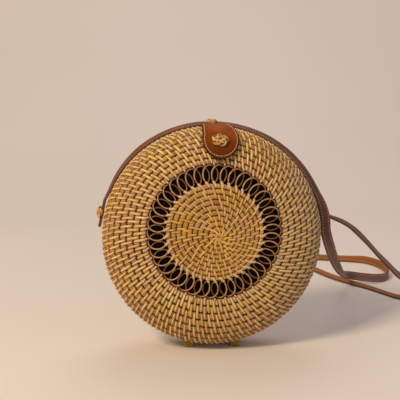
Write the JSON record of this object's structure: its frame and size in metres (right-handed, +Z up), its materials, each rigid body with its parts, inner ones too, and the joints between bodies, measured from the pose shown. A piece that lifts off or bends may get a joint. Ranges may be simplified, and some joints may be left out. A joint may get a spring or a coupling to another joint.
{
  "type": "circle bag",
  "caption": "Round shoulder bag of two coiled cane shells hinged at the bottom, with an openwork ring of cane curls, a leather flap with a cane knot and a leather strap.",
  "frame": {"origin": "on the surface it stands on, under the middle of the bag without its strap", "axes": "+X to the right of the front face, +Y from front to back, +Z up"},
  "size_m": [0.392, 0.416, 0.2085],
  "materials": {
    "coiled_cane": "coiled and bound cane, satin",
    "rim_cane": "bound cane coil, satin",
    "curl_cane": "thin smoked cane, satin",
    "knot_cane": "split cane, glossy skin side",
    "flap_leather": "tan-brown leather with pale stitches",
    "strap_leather": "dark brown leather, stitched along both edges",
    "lining_cloth": "plain woven cotton lining",
    "closure_metal": "satin nickel"
  },
  "bodies": {
    "back_half": {"back_shell": "coiled_cane", "back_rim": "rim_cane", "back_disc": "coiled_cane", "back_curls": "curl_cane", "back_lining": "lining_cloth", "back_gussets": "lining_cloth", "hinge_cores": "rim_cane", "hinge_ties_back": "knot_cane", "flap_root": "flap_leather", "top_knot": "knot_cane", "side_knot_left": "knot_cane", "side_knot_right": "knot_cane", "strap_end_left": "strap_leather", "strap_end_right": "strap_leather", "strap_over_rim": "strap_leather", "strap_floor_run": "strap_leather", "strap_rise": "strap_leather"},
    "front_half": {"front_shell": "coiled_cane", "front_rim": "rim_cane", "front_disc": "coiled_cane", "front_curls": "curl_cane", "front_lining": "lining_cloth", "front_gussets": "lining_cloth", "hinge_ties_front": "knot_cane", "closure_plate": "closure_metal", "closure_washer": "closure_metal"},
    "flap": {"flap_tongue": "flap_leather", "flap_knot": "knot_cane", "closure_magnet": "closure_metal", "closure_rivet": "closure_metal"}
  },
  "joints": [
    {"name": "shell_open", "type": "hinge", "parent": "back_half", "child": "front_half", "pos_m": [0, 0, 0.0022], "axis": [1, 0, 0], "range_deg": [0, 18]},
    {"name": "flap_lift", "type": "hinge", "parent": "back_half", "child": "flap", "pos_m": [0, 0, 0.2057], "axis": [-1, 0, 0], "range_deg": [0, 120]}
  ],
  "couplings": [
    {"joint": "flap_lift", "follows": "shell_open", "ratio": 6.666}
  ]
}
